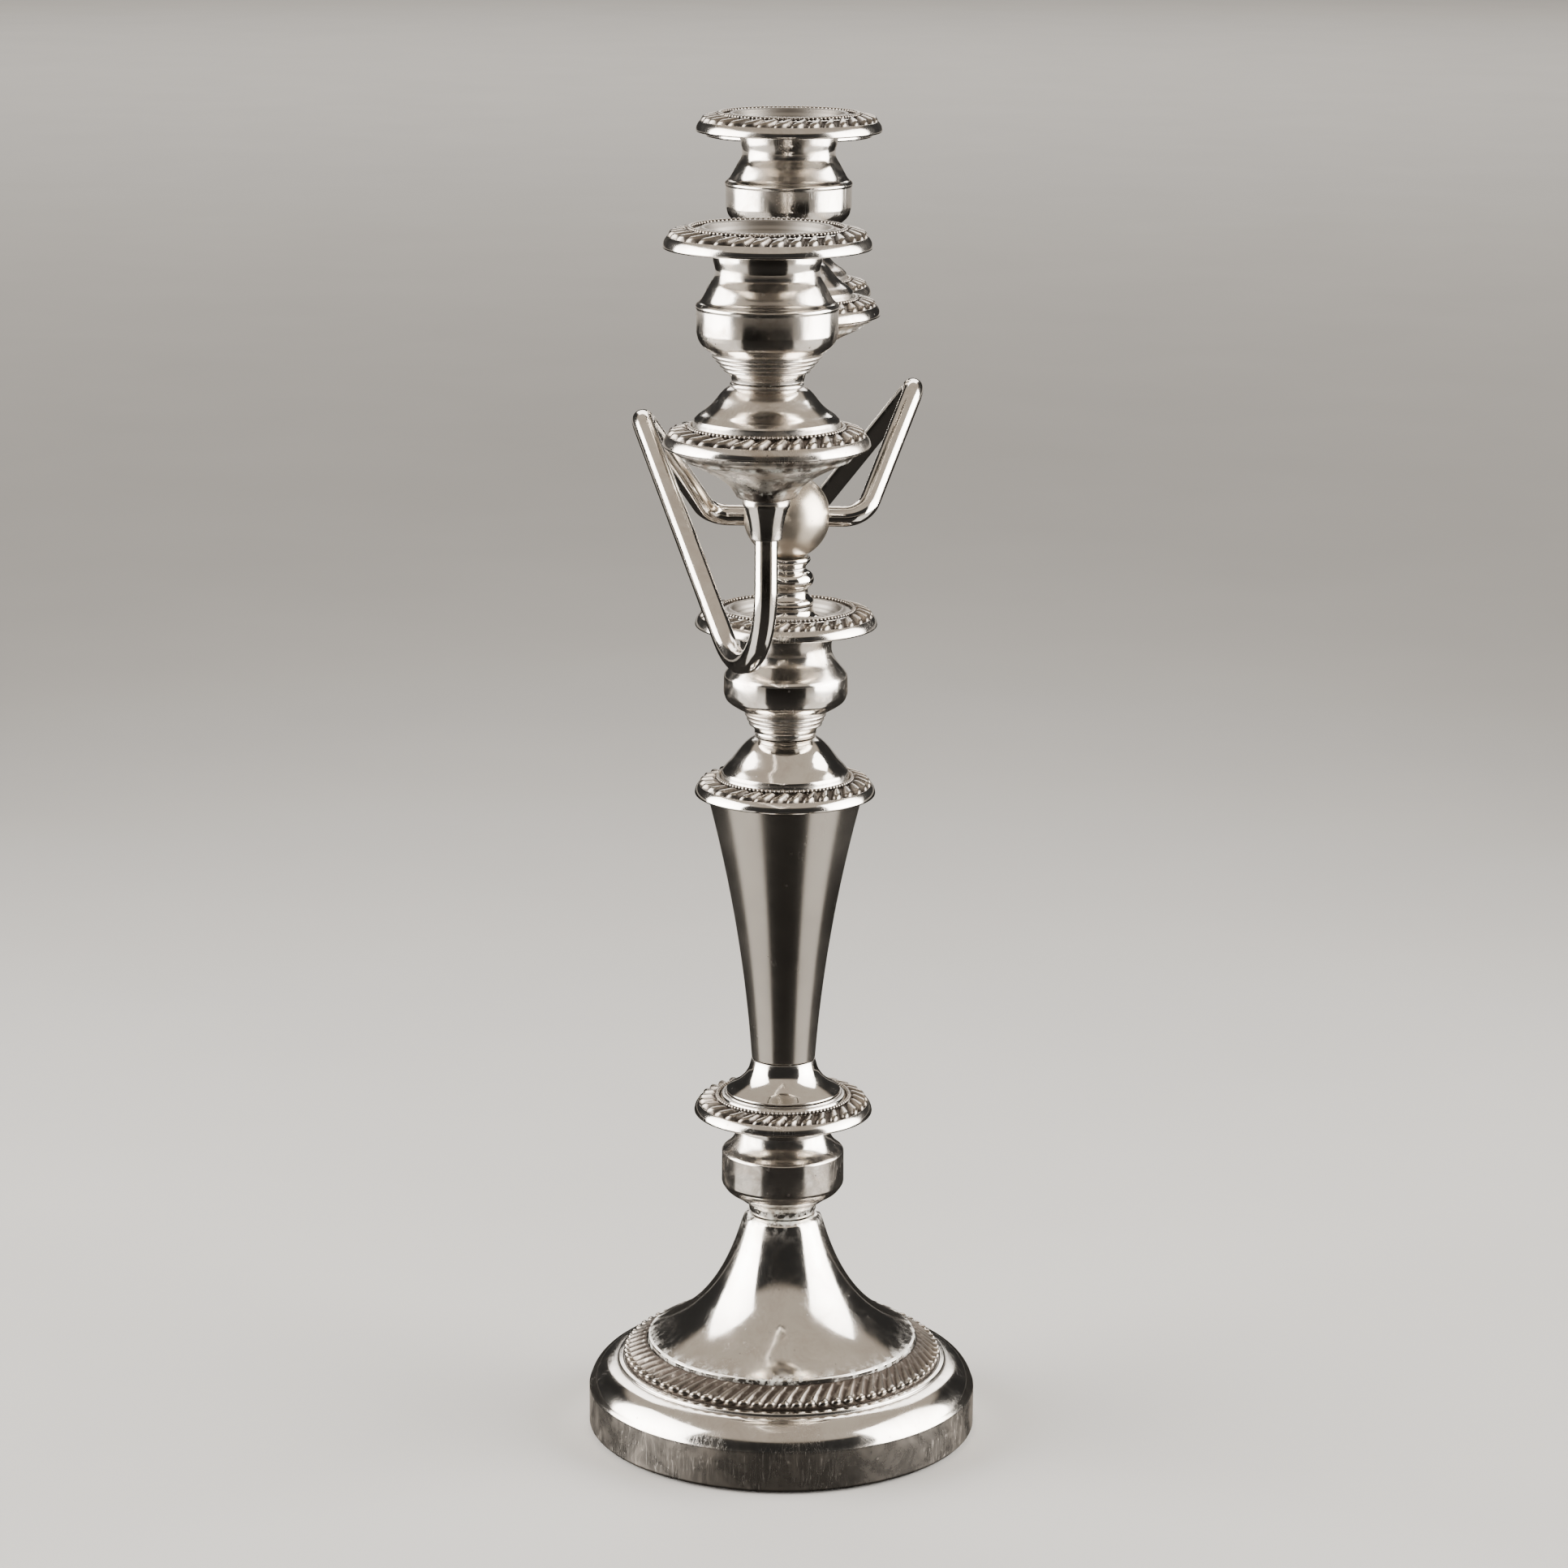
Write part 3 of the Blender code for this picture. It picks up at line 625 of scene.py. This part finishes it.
def lower_knop():
    outer = [(14.3, 102.6), (14.2, 98.2)]
    outer += flow((14.2, 97.6), (15.2, 95.0), (16.8, 92.7), (18.7, 91.1))
    outer += [(19.1, 90.6), (19.15, 80.7)]
    outer += flow((18.9, 79.9), (17.4, 77.9), (15.3, 76.5), (13.4, 75.4))
    outer += [(13.2, 74.9), (12.5, 74.7), (10.9, 73.4), (10.6, 72.7), (10.5, 71.5), (10.1, 70.3)]
    inner = [(8.6, 70.3), (9.2, 74.0), (17.6, 81.0), (17.6, 90.0), (13.0, 97.5), (13.0, 102.6)]
    turned("lower_knop", "stick", KNOP, TABLE, outer + inner,
           seams=[(14.3, 102.6), (10.2, 70.5)], residue=[(10.2, 71.0), (11.0, 73.0)])


def lower_collar():
    outline = [(3.6, 6.7), (18.2, 6.7), (18.3, 6.1), (19.2, 6.1), (19.5, 5.5)]
    outline += disc_edge() + [(26.2, -0.1), (24.0, 0.6), (15.2, -0.3), (3.6, -0.3)]
    turned("lower_collar", "stick", POLISHED, LOWER_COLLAR, outline,
           seams=[(18.0, 6.7)])


def stem_foot():
    outer = [(9.9, 120.7), (10.0, 120.2)]
    outer += flow((10.25, 119.2), (11.0, 116.9), (12.6, 114.5), (14.8, 112.5), (17.3, 110.95))
    outer += [(17.75, 110.7), (17.8, 110.2)]
    turned("stem_foot", "stick", POLISHED, TABLE,
           outer + [(15.6, 110.2), (9.0, 116.5), (8.6, 120.7)], seams=[(9.9, 120.7)])


STEM_STEPS = 24
STEM_WALL = 0.9


def stem():
    """A tube that widens upwards, a little faster towards the top."""
    low, high = box_mm("stem")
    outer = []
    for step in range(STEM_STEPS + 1):
        t = 1 - step / STEM_STEPS
        outer.append((9.9 + 6.0 * t + 7.9 * t * t, low.z + (high.z - low.z) * t))
    inner = [(radius - STEM_WALL, height) for radius, height in reversed(outer[::4])]
    turned("stem", "stick", SATIN, Vector((TABLE.x, TABLE.y, 0)), outer + inner)


def upper_collar():
    outline = [(3.6, 18.1)]
    outline += flow((9.2, 18.1), (11.0, 17.0), (12.7, 15.5), (14.1, 13.9), (15.4, 12.2),
                    (16.7, 10.5), (18.1, 9.0), (19.3, 7.6))
    outline += [(19.55, 7.0), (19.6, 6.2), *disc_edge()]
    outline += [(26.2, -0.1), (22.5, 0.4), (17.0, 4.5), (3.6, 10.0)]
    turned("upper_collar", "stick", POLISHED, UPPER_COLLAR, outline,
           seams=[(9.2, 18.1), (19.6, 6.4)])


MOULDING_BULGE = 0.30     # of a moulding's height
MOULDING_SPAN = (0.12, 0.86)


def mouldings(top, bottom, count):
    """A flight of small round mouldings between two points of an outline, top first."""
    top, bottom = Vector(top), Vector(bottom)
    points = []
    for index in range(count):
        start = top.lerp(bottom, index / count)
        end = top.lerp(bottom, (index + 1) / count)
        ends = [start.lerp(end, share) for share in MOULDING_SPAN]
        points += bow(*ends, (end - start).length * MOULDING_BULGE, 6)
    return points


def stick_cup():
    outer = [(12.2, 257.7), (14.8, 257.7)]
    outer += flow((14.75, 257.2), (14.5, 255.0), (14.0, 252.8), (14.0, 250.8), (14.3, 249.5),
                  (15.1, 247.8), (16.4, 246.1), (17.8, 244.4), (18.5, 243.5))
    outer += [(18.9, 242.7), (19.0, 237.6), *flow((18.85, 236.8), (18.0, 235.0), (15.7, 233.3),
                                                  (12.5, 231.5))]
    outer += mouldings((12.3, 231.3), (10.5, 227.0), 3)
    outer += flow((10.1, 226.8), (9.6, 226.0), (9.4, 225.3), (9.5, 224.8))
    outer += [(9.2, 224.4), (9.2, 223.8)]
    bore = [(3.6, 223.8), (3.6, 239.0), (12.2, 239.0)]
    turned("stick_cup", "stick", CUP, TABLE, outer + bore,
           seams=[(14.8, 257.7), (9.2, 223.8)])


# ---------------------------------------------------------------- nozzles

NOZZLE_TOP = 5.8      # top of the rim over the disc's underside


def nozzle(node, body):
    """A loose candle socket: a plain tube, a stepped dish and a rim with its border."""
    place = axis_of(node)
    place.z = box_mm(node)[1].z - NOZZLE_TOP
    dish = flow((11.1, -0.6), (12.6, 0.1), (14.6, 2.0), (16.2, 4.4))
    lip = bow((16.5, 5.2), (17.9, 5.2), 0.5, 8)
    outline = [(0, -16.6), (10.7, -16.6), (11.1, -16.2), *dish, *lip, (18.3, 4.9), (19.6, 4.8)]
    outline += disc_edge() + [(26.2, -0.1), (24.5, 0.9), (13.9, 0.1), (11.7, -0.5), (11.7, -17.5)]
    outline += [(0, -17.5)]
    turned(node, body, NOZZLE, place, outline,
           seams=[(19.5, 4.8), (26.5, 0.2)], residue=[*dish[::3], *lip[::3]])
    cast_border(node + "_border", place, body)


# ---------------------------------------------------------------- branch

SPIGOT_TOP = 264.6            # these two and their outlines are heights over the table
BRANCH_STEM_TOP = 279.6


def spigot():
    place = Vector((TABLE.x, TABLE.y, box_mm("spigot")[1].z - SPIGOT_TOP))
    outline = [(0, SPIGOT_TOP), (8.2, SPIGOT_TOP)]
    outline += flow((8.2, 264.3), (8.4, 263.0), (9.1, 261.9), (10.3, 261.2))
    outline += [(10.7, 260.8), (10.7, 242.8), (9.7, 241.8), (0, 241.8)]
    turned("spigot", "branch_spigot", POLISHED, place, outline, SMALL_STEPS,
           seams=[(8.2, SPIGOT_TOP)])


def branch_stem():
    """Baluster between the spigot and the hub: disc, groove, bead, groove and ring."""
    place = Vector((TABLE.x, TABLE.y, box_mm("branch_stem")[1].z - BRANCH_STEM_TOP))
    outline = [(0, BRANCH_STEM_TOP), (7.0, BRANCH_STEM_TOP)]
    outline += bow((7.2, 279.4), (7.0, 277.9), 0.25, 8)
    outline += flow((6.5, 277.4), (5.95, 276.6), (5.95, 275.9), (6.6, 275.2))
    outline += [*bow((7.0, 275.0), (7.0, 270.4), 1.4, 16)]
    outline += flow((6.7, 270.0), (6.55, 269.2), (6.7, 268.2), (7.4, 267.1), (8.1, 266.5))
    outline += [*bow((8.25, 266.3), (8.25, 265.0), 0.15, 6), (8.0, 264.9), (0, 264.9)]
    turned("branch_stem", "branch", POLISHED, place, outline, SMALL_STEPS,
           seams=[(7.0, BRANCH_STEM_TOP), (5.95, 276.2), (6.55, 269.0), (8.2, 264.9)])


HUB_STEPS = 48


def hub():
    """A ball with small flats at its top and foot."""
    low, high = box_mm("hub")
    radius = (high.x - low.x) / 2
    outline = [(0, high.z)]
    top = math.asin((high.z - HUB.z) / radius)
    bottom = math.asin((low.z - HUB.z) / radius)
    for step in range(HUB_STEPS + 1):
        angle = top + (bottom - top) * step / HUB_STEPS
        outline.append((radius * math.cos(angle), HUB.z + radius * math.sin(angle)))
    outline.append((0, low.z))
    turned("hub", "branch", HUB_FINISH, Vector((HUB.x, HUB.y, 0)), outline)


def filleted(corners, radii, steps=14):
    """A path through corners, with each inner corner rounded to its own radius."""
    corners = [Vector(corner) for corner in corners]
    path = [corners[0]]
    for before, corner, after, radius in zip(corners, corners[1:], corners[2:], radii):
        back = (before - corner).normalized()
        ahead = (after - corner).normalized()
        half = back.angle(ahead) / 2
        centre = corner + (back + ahead).normalized() * radius / math.sin(half)
        first = corner + back * radius / math.tan(half) - centre
        last = corner + ahead * radius / math.tan(half) - centre
        turn = first.angle(last)
        for step in range(steps + 1):
            along = turn * step / steps
            path.append(centre + (math.sin(turn - along) * first + math.sin(along) * last)
                        / math.sin(turn))
    path.append(corners[-1])
    return path


def resampled(path, pitch):
    """The same path with long straight runs split up."""
    fine = [path[0]]
    for start, end in zip(path, path[1:]):
        pieces = max(1, round((end - start).length / pitch))
        fine += [start.lerp(end, piece / pieces) for piece in range(1, pieces + 1)]
    return fine


def bar_mesh(name, path, radius, sides):
    """A round bar along a path, with flat ends."""
    rings = []
    side = Vector((0, 0, 1))
    for index, point in enumerate(path):
        before, after = path[max(index - 1, 0)], path[min(index + 1, len(path) - 1)]
        ahead = (after - before).normalized()
        side = (side - ahead * side.dot(ahead)).normalized()
        other = ahead.cross(side)
        for step in range(sides):
            angle = 2 * math.pi * step / sides
            rings.append(point + (side * math.cos(angle) + other * math.sin(angle)) * radius)
    faces = []
    for ring in range(len(path) - 1):
        for step in range(sides):
            following = (step + 1) % sides
            a, b = ring * sides, (ring + 1) * sides
            faces.append((a + step, a + following, b + following, b + step))
    last = (len(path) - 1) * sides
    faces.append(tuple(reversed(range(sides))))
    faces.append(tuple(range(last, last + sides)))
    mesh = bpy.data.meshes.new(name)
    mesh.from_pydata([tuple(point * MM) for point in rings], [], faces)
    return mesh


# Corners of an arm's path, from the hub's centre.
ARM_START = 9.5           # inside the ball
ARM_FIRST_BEND = 23.4
ARM_TOP = {"right": (42.0, -42.0, 37.5), "left": (-35.0, 38.8, 36.4)}
ARM_LOW = -36.7
ARM_END = 5.8             # below the ferrule's top
ARM_BENDS = (8.5, 8.0, 24.5)
ARM_PITCH = 4.0
ARM_SIDES = 40


def arm(label):
    """Leaves the hub sideways, climbs, runs out and down, and turns up under its light."""
    light = axis_of(label + "_ferrule")
    top = HUB + Vector(ARM_TOP[label])
    out = math.copysign(1.0, top.y)
    corners = [
        HUB + Vector((0, out * ARM_START, 0)),
        HUB + Vector((0, out * ARM_FIRST_BEND, 0)),
        top,
        Vector((light.x, light.y, HUB.z + ARM_LOW)),
        Vector((light.x, light.y, box_mm(label + "_ferrule")[1].z - ARM_END)),
    ]
    path = resampled(filleted(corners, ARM_BENDS), ARM_PITCH)
    name = label + "_arm_fine"
    finish_piece(bar_mesh(name, path, TUBE_RADIUS, ARM_SIDES), name, "branch",
                 POLISHED, [label + "_arm"])


def centre_post():
    low, high = box_mm("centre_post")
    outline = [(0, high.z), (TUBE_RADIUS, high.z), (TUBE_RADIUS, low.z + 3.4),
               (3.6, low.z + 2.6)]
    outline += [*bow((4.6, low.z + 1.9), (5.2, low.z + 0.4), 0.25, 5), (5.0, low.z), (0, low.z)]
    turned("centre_post", "branch", POLISHED, Vector((TABLE.x, TABLE.y, 0)),
           outline, SMALL_STEPS)


# Outlines of a light stand on the underside of its drip pan's disc.
PAN_TOP = 17.3


def ferrule(node, place):
    outline = [(0, -18.4), (1.9, -18.4), (1.9, -13.8), (6.0, -13.8)]
    outline += bow((6.2, -13.9), (6.3, -15.9), 0.15, 6)
    outline += flow((5.9, -16.6), (5.2, -18.7), (4.7, -20.8), (4.45, -22.3))
    outline += [(4.2, -24.8), (4.0, -25.1), (3.5, -25.1), (3.5, -19.3), (0, -19.3)]
    turned(node, "branch", CUP, place, outline, SMALL_STEPS,
           seams=[(6.5, -13.8), (4.4, -25.1)])


def pan_under(node, place):
    outer = [(25.6, -0.3), (25.5, -0.8), (25.1, -1.3), (23.0, -2.4), (22.75, -3.1)]
    outer += flow((22.3, -3.4), (19.4, -4.7), (16.2, -6.3), (12.7, -8.3), (10.4, -10.0),
                  (9.2, -11.4), (8.2, -13.2))
    outer += [(8.0, -13.5), (1.9, -13.5), (1.9, -12.5), (7.1, -12.5), (8.6, -10.3), (24.2, -0.3)]
    turned(node, "branch", DULL, place, outer,
           seams=[(25.6, -0.5), (22.9, -2.8), (8.0, -13.5)],
           residue=[(22.6, -3.2), (9.0, -11.6), (15.0, -7.0)])


def drip_pan(node, place, lift):
    """A disc with a collar, and on it a neck that is taller by lift under the centre light."""
    top = PAN_TOP + lift
    outline = [(1.9, top), (9.6, top), (9.9, 17.0 + lift), (9.9, 16.5)]
    outline += flow((9.7, 16.4), (11.2, 15.4), (12.6, 14.0), (13.8, 12.5), (15.0, 11.1),
                    (16.5, 9.8), (18.1, 8.7), (19.3, 7.6))
    outline += [(19.55, 7.1), (19.6, 6.5), *disc_edge()]
    outline += [(26.2, 0.0), (24.0, 0.4), (18.4, 6.0), (7.9, 16.2), (1.9, 16.2)]
    turned(node, "branch", CUP, place, outline,
           seams=[(8.8, PAN_TOP), (19.6, 6.5)])


def candle_cup(node, place):
    outer = [(12.2, 52.4), (14.8, 52.4)]
    outer += flow((14.75, 51.9), (14.5, 49.8), (14.0, 47.7), (13.95, 46.6), (14.1, 45.5),
                  (14.6, 44.4), (15.3, 43.3), (16.4, 41.3), (17.6, 39.2), (18.5, 38.4))
    outer += [*bow((18.95, 37.9), (19.0, 37.1), 0.12, 5), (18.85, 36.8), (18.85, 31.0)]
    outer += flow((18.75, 30.4), (18.3, 28.7), (17.5, 27.4), (16.3, 26.3), (15.0, 25.3))
    outer += mouldings((14.7, 25.0), (10.6, 20.0), 4)
    outer += flow((10.0, 19.4), (9.6, 18.6), (9.4, 17.8))
    outer += [(9.4, 17.6), (1.9, 17.6), (1.9, 30.5), (4.5, 30.5), (4.5, 33.5), (12.2, 33.5)]
    turned(node, "branch", CUP, place, outer,
           seams=[(14.8, 52.4), (14.9, 25.2), (12.6, 22.5), (9.4, 17.6)])


def cup_screw(node, place, lift):
    seat = 30.8 + lift
    outline = [(0, seat + 2.2), (2.6, seat + 2.2)]
    outline += bow((3.2, seat + 2.1), (3.6, seat + 1.5), 0.1, 3)
    outline += [(3.6, seat), (1.5, seat), (1.5, -18.0), (0, -18.0)]
    turned(node, "branch", STEEL, place, outline, SMALL_STEPS // 2)


def light(label):
    place = axis_of(label + "_drip_pan")
    lift = box_mm(label + "_drip_pan")[1].z - place.z - PAN_TOP
    ferrule(label + "_ferrule", place)
    pan_under(label + "_pan_under", place)
    drip_pan(label + "_drip_pan", place, lift)
    cast_border(label + "_pan_border", place, "branch")
    candle_cup(label + "_candle_cup", place + Vector((0, 0, lift)))
    cup_screw(label + "_cup_screw", place, lift)
    nozzle(label + "_nozzle", label + "_nozzle")


def make_stick():
    base_shell()
    base_border()
    lower_knop()
    lower_collar()
    cast_border("lower_collar_border", LOWER_COLLAR, "stick")
    stem_foot()
    stem()
    upper_collar()
    cast_border("upper_collar_border", UPPER_COLLAR, "stick")
    stick_cup()
    nozzle("stick_nozzle", "stick_nozzle")


def make_branch():
    spigot()
    branch_stem()
    hub()
    arm("right")
    arm("left")
    centre_post()
    for label in LIGHTS:
        light(label)


def repaint(node, material):
    """A CAD node that keeps its shape and gets a finer finish."""
    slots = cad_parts[node].data.materials
    slots.clear()
    slots.append(material)


make_stick()
make_branch()
repaint("base_felt", FELT)
repaint("base_weight", PLASTER)
for name in ("tie_rod", "tie_rod_washer", "tie_rod_nut"):
    repaint(name, STEEL)


# ---------------------------------------------------------------- studio

CAMERA_AZIMUTH = math.radians(92.0)    # 0 looks along +Y, 90 along -X
CAMERA_DISTANCE = 1.312
CAMERA_HEIGHT = 0.5209
CAMERA_PITCH = math.radians(13.4)
CAMERA_ROLL = math.radians(0.35)
CAMERA_YAW = 0.00025          # radians past straight at the axis
CAMERA_LENS = 100.62

CARD_REACH = 2.4              # black card in front and behind
CARD_SIDE = 0.20              # and at the sides, where it leaves the floor open
CARD_OPEN_FRONT = math.cos(math.radians(42))    # the sides, by the turn from the camera
CARD_OPEN_BACK = math.cos(math.radians(98))
CARD_CORNERS = 72

FLOOR_COLOURS = (0.43, 0.425, 0.415), (0.47, 0.465, 0.455)
FLOOR_HALF = 15.0
FLOOR_GAP = 0.0002            # below the object's foot
CARD_GAP = 0.0001
CARD_BLACK = (0.012, 0.0115, 0.011, 1.0)

SKY_LOW = (0.03, 0.029, 0.028)
SKY_HIGH = (0.60, 0.525, 0.44)
SKY_CHANGE = (0.53, 0.62)     # heights in the sky between which one turns into the other
LAMP_COLOUR = (1.0, 0.965, 0.92)


def camera():
    data = bpy.data.cameras.new("camera")
    data.lens = CAMERA_LENS
    data.sensor_width = 36.0
    data.clip_start = 0.05
    data.clip_end = 60.0
    eye = bpy.data.objects.new("camera", data)
    bpy.context.scene.collection.objects.link(eye)
    eye.location = (CAMERA_DISTANCE * math.sin(CAMERA_AZIMUTH),
                    -CAMERA_DISTANCE * math.cos(CAMERA_AZIMUTH), CAMERA_HEIGHT)
    turn = Matrix.Rotation(CAMERA_AZIMUTH + CAMERA_YAW, 4, "Z")
    tilt = Matrix.Rotation(math.pi / 2 - CAMERA_PITCH, 4, "X")
    roll = Matrix.Rotation(CAMERA_ROLL, 4, "Z")
    eye.rotation_mode = "QUATERNION"
    eye.rotation_quaternion = (turn @ tilt @ roll).to_quaternion()
    bpy.context.scene.camera = eye


def pale_floor():
    """A wide matte floor."""
    mesh = bpy.data.meshes.new("floor")
    half = FLOOR_HALF
    mesh.from_pydata([(-half, -half, 0), (half, -half, 0), (half, half, 0), (-half, half, 0)],
                     [], [(0, 1, 2, 3)])
    floor = bpy.data.objects.new("floor", mesh)
    bpy.context.scene.collection.objects.link(floor)
    floor.location.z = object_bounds()[0].z - FLOOR_GAP
    material = bpy.data.materials.new("pale_floor")
    material.use_nodes = True
    tree = material.node_tree
    shader = tree.nodes["Principled BSDF"]
    shader.inputs["Roughness"].default_value = 0.9
    shader.inputs["Specular IOR Level"].default_value = 0.0
    where = add_node(tree, "TexCoord").outputs["Object"]
    mottle = noise(tree, where, 6.0, 3.0)
    colour = mix_colour(tree, mottle, *FLOOR_COLOURS)
    tree.links.new(colour, shader.inputs["Base Color"])
    mesh.materials.append(material)
    floor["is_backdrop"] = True


def panel(name, azimuth, distance, height, width, tall, power, aim_height, spread=180):
    """A soft light panel, aimed at a point on the object's axis.

    azimuth is measured from the camera's. Lengths are in metres, power is in watts."""
    data = bpy.data.lights.new(name, "AREA")
    data.shape = "RECTANGLE"
    data.size = width
    data.size_y = tall
    data.energy = power
    data.spread = math.radians(spread)
    data.color = LAMP_COLOUR
    lamp = bpy.data.objects.new(name, data)
    bpy.context.scene.collection.objects.link(lamp)
    angle = CAMERA_AZIMUTH + math.radians(azimuth)
    lamp.location = (distance * math.sin(angle), -distance * math.cos(angle), height)
    aim = Vector((0, 0, aim_height)) - lamp.location
    lamp.rotation_mode = "QUATERNION"
    lamp.rotation_quaternion = aim.to_track_quat("-Z", "Y")


def light_tent():
    """A soft beige ceiling over dark surroundings."""
    world = bpy.data.worlds.new("studio")
    world.use_nodes = True
    tree = world.node_tree
    direction = add_node(tree, "TexCoord").outputs["Generated"]
    height = add_node(tree, "SeparateXYZ", {0: direction}).outputs["Z"]
    colour = mix_colour(tree, step_up(tree, height, *SKY_CHANGE), SKY_LOW, SKY_HIGH)
    tree.links.new(colour, tree.nodes["Background"].inputs["Color"])
    bpy.context.scene.world = world


def reflection_card():
    """Black card round the object, seen only in reflections: silver needs a dark to mirror."""
    outline = []
    for step in range(CARD_CORNERS):
        angle = 2 * math.pi * step / CARD_CORNERS
        facing = math.cos(angle - CAMERA_AZIMUTH + math.pi / 2)
        open_side = CARD_OPEN_BACK < facing < CARD_OPEN_FRONT
        reach = CARD_SIDE if open_side else CARD_REACH
        outline.append((reach * math.cos(angle), reach * math.sin(angle), 0.0))
    mesh = bpy.data.meshes.new("reflection_card")
    mesh.from_pydata(outline, [], [tuple(range(len(outline)))])
    card = bpy.data.objects.new("reflection_card", mesh)
    bpy.context.scene.collection.objects.link(card)
    card.location.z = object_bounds()[0].z - CARD_GAP
    material = bpy.data.materials.new("black_card")
    material.use_nodes = True
    shader = material.node_tree.nodes["Principled BSDF"]
    shader.inputs["Base Color"].default_value = CARD_BLACK
    shader.inputs["Roughness"].default_value = 1.0
    shader.inputs["Specular IOR Level"].default_value = 0.0
    mesh.materials.append(material)
    card.visible_camera = False
    card.visible_diffuse = False
    card.visible_shadow = False
    card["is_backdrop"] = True


def studio():
    """Two soft side panels for the silver, and a far one that evens out the floor."""
    for name, azimuth in (("left_panel", -85), ("right_panel", 85)):
        panel(name, azimuth, distance=0.95, height=0.55, width=1.1, tall=1.1, power=30.0,
              aim_height=0.45, spread=120)
    panel("back_panel", 180, distance=6.5, height=4.5, width=6.0, tall=4.0, power=420.0,
          aim_height=-1.5)
    light_tent()


camera()
pale_floor()
reflection_card()
studio()
